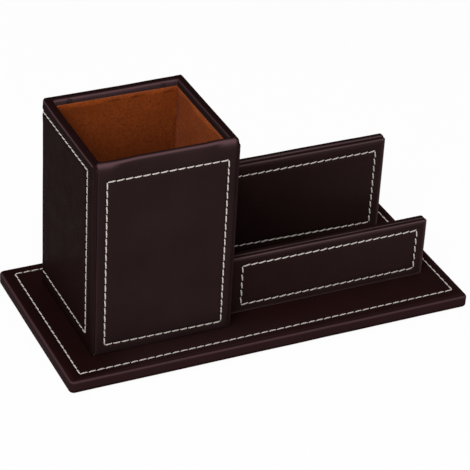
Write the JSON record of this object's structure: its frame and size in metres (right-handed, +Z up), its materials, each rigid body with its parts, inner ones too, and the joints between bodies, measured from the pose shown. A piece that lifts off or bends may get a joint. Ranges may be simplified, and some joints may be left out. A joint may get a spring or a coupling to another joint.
{
  "type": "desk card holder with pen cup",
  "caption": "Leather-covered desk stand: an open square pen cup beside upright stitched panels that hold notes and business cards between them, on a flat base.",
  "frame": {"origin": "centre of the base on the surface that the stand rests on", "axes": "+X along the base's long side, from the pen cup towards the free ends of the panels; +Y to the rear; +Z up"},
  "size_m": [0.2, 0.0962, 0.1043],
  "materials": {
    "base_leather": "smooth satin leather, dark reddish brown",
    "cup_leather": "smooth satin leather, dark brown",
    "panel_leather": "smooth satin leather, dark brown",
    "thread": "thick waxed sewing thread, off-white",
    "suede": "napped suede cloth, orange brown",
    "felt": "dense felt, near black",
    "fibreboard": "raw pressed fibreboard",
    "card": "grey lining card",
    "steel": "zinc-plated steel"
  },
  "bodies": {
    "root": {"base_underlay": "felt", "base_board": "fibreboard", "base_leather": "base_leather", "base_stitching": "thread", "cup_floor_board": "fibreboard", "cup_front_board": "fibreboard", "cup_rear_board": "fibreboard", "cup_left_board": "fibreboard", "cup_right_board": "fibreboard", "cup_front_leather": "cup_leather", "cup_wrap_leather": "cup_leather", "cup_front_stitching": "thread", "cup_wrap_stitching": "thread", "cup_front_lining": "suede", "cup_rear_lining": "suede", "cup_left_lining": "suede", "cup_right_lining": "suede", "cup_floor_lining": "suede", "cup_screws": "steel", "front_panel_board": "fibreboard", "front_panel_leather": "panel_leather", "front_panel_facing_card": "card", "front_panel_facing_leather": "panel_leather", "front_panel_stitching": "thread", "front_panel_pins": "steel", "rear_panel_board": "fibreboard", "rear_panel_leather": "panel_leather", "rear_panel_facing_card": "card", "rear_panel_facing_leather": "panel_leather", "rear_panel_stitching": "thread", "rear_panel_pins": "steel"}
  },
  "joints": []
}
